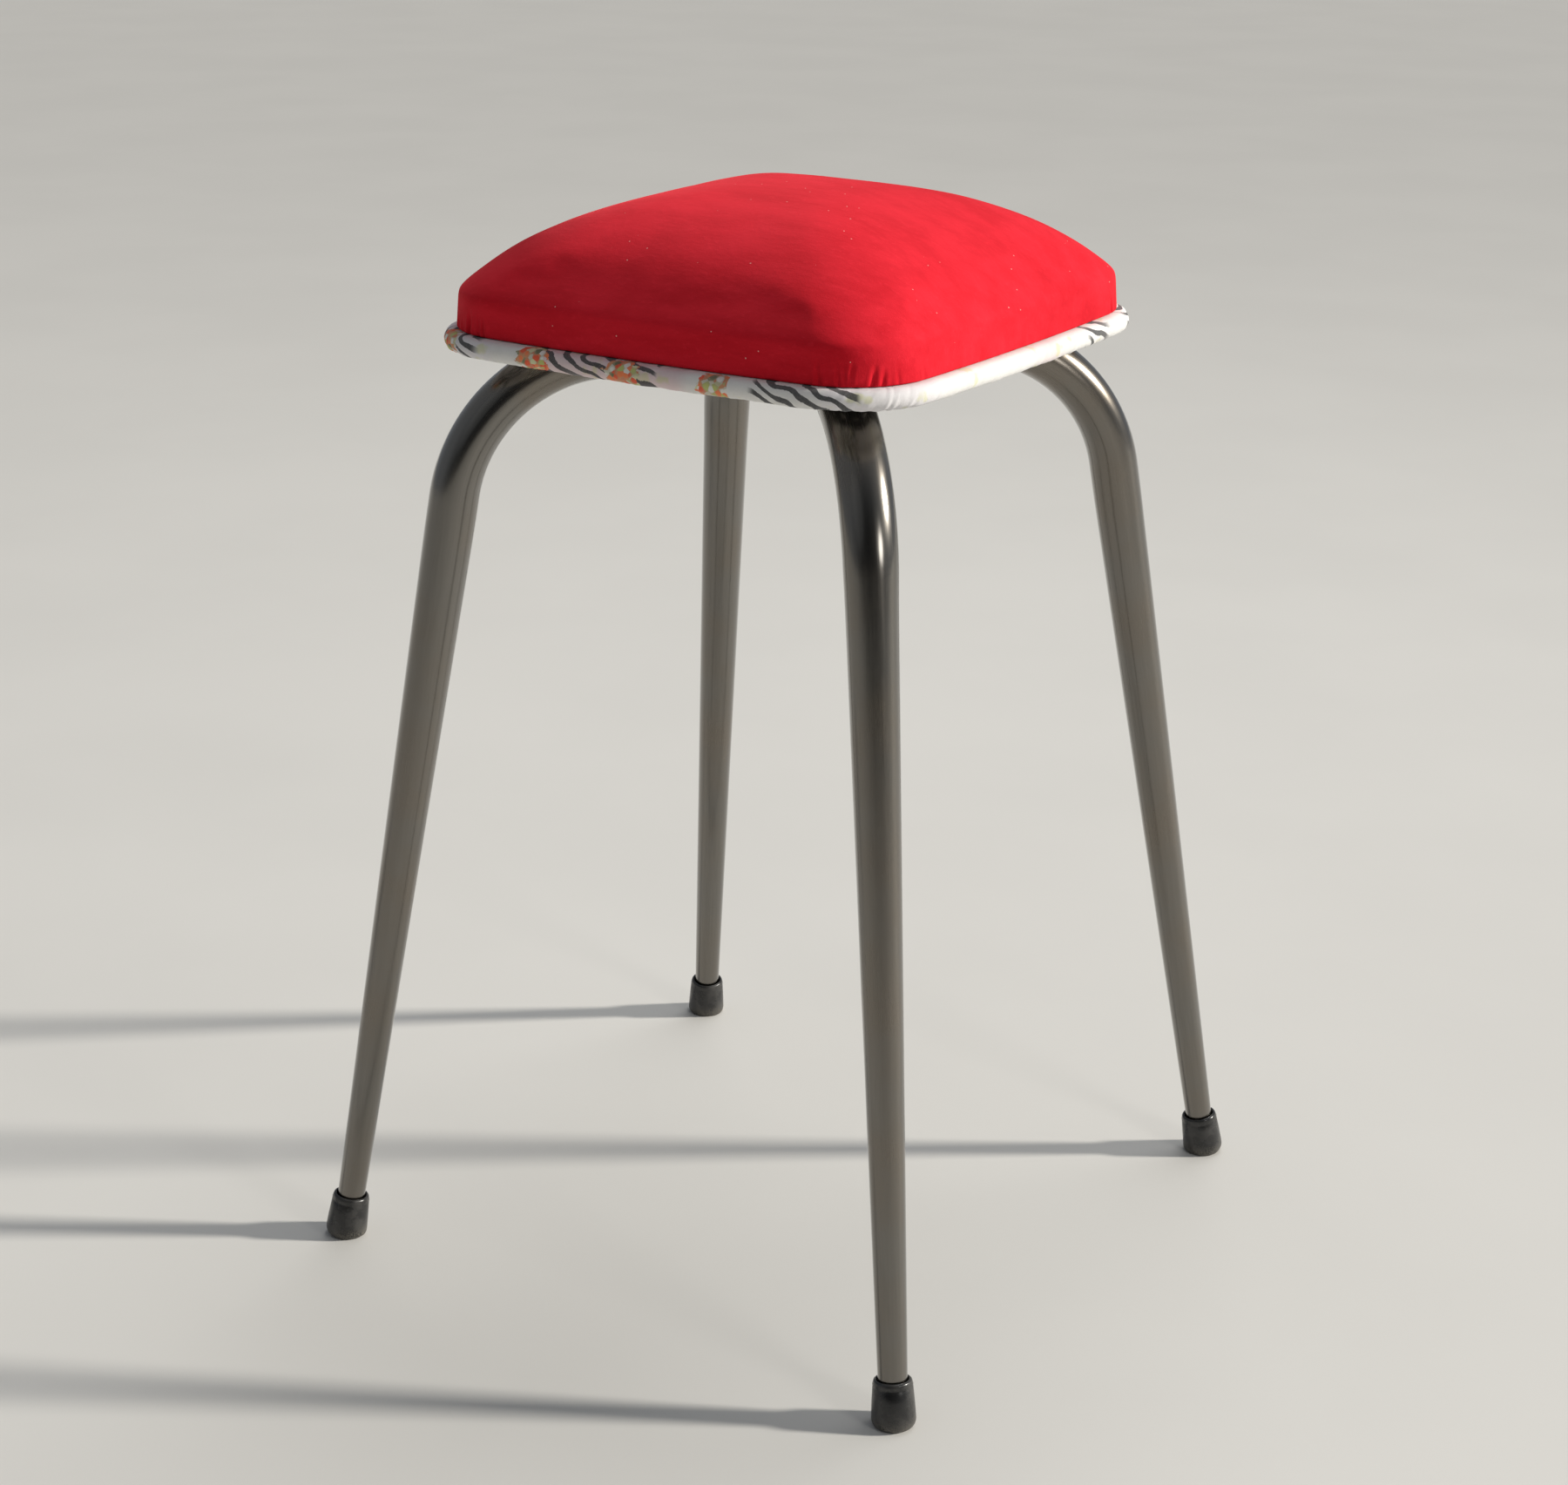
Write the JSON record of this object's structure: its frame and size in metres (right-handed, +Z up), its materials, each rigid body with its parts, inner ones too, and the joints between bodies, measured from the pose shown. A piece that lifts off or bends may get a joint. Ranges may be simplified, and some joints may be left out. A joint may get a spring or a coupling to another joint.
{
  "type": "upholstered stool",
  "caption": "Tall stool with a square domed velvet seat edged in printed piping, on splayed tapered steel tube legs with rubber feet.",
  "frame": {"origin": "centre of the stool at floor level, midway between the four feet", "axes": "+Z up from the floor to the seat; X and Y run along the seat's sides, with a leg under each corner; -Y is called the front"},
  "size_m": [0.404, 0.404, 0.6125],
  "materials": {
    "leg_steel": "satin, clear lacquer over bare steel",
    "foot_rubber": "smooth",
    "washer_steel": "plain zinc",
    "plate_steel": "satin, clear lacquer over bare steel",
    "weld_steel": "rough weld bead",
    "screw_steel": "bright zinc",
    "plywood": "raw plywood",
    "foam": "open-cell upholstery foam",
    "wadding": "soft polyester wadding",
    "velvet": "short-pile velvet",
    "cord_cotton": "twisted cotton",
    "printed_cotton": "printed plain-weave cotton",
    "dust_cloth": "non-woven cloth",
    "staple_steel": "bright"
  },
  "bodies": {
    "root": {"leg_front_left": "leg_steel", "leg_front_right": "leg_steel", "leg_back_left": "leg_steel", "leg_back_right": "leg_steel", "rubber_foot_front_left": "foot_rubber", "rubber_foot_front_right": "foot_rubber", "rubber_foot_back_left": "foot_rubber", "rubber_foot_back_right": "foot_rubber", "foot_washer_front_left": "washer_steel", "foot_washer_front_right": "washer_steel", "foot_washer_back_left": "washer_steel", "foot_washer_back_right": "washer_steel", "mounting_plate": "plate_steel", "weld_beads": "weld_steel", "plate_screws": "screw_steel", "seat_board": "plywood", "foam_pad": "foam", "wadding_layer": "wadding", "velvet_cover": "velvet", "piping_cord": "cord_cotton", "piping_sleeve": "printed_cotton", "piping_staples": "staple_steel", "dust_cover": "dust_cloth", "dust_cover_staples": "staple_steel"}
  },
  "joints": []
}
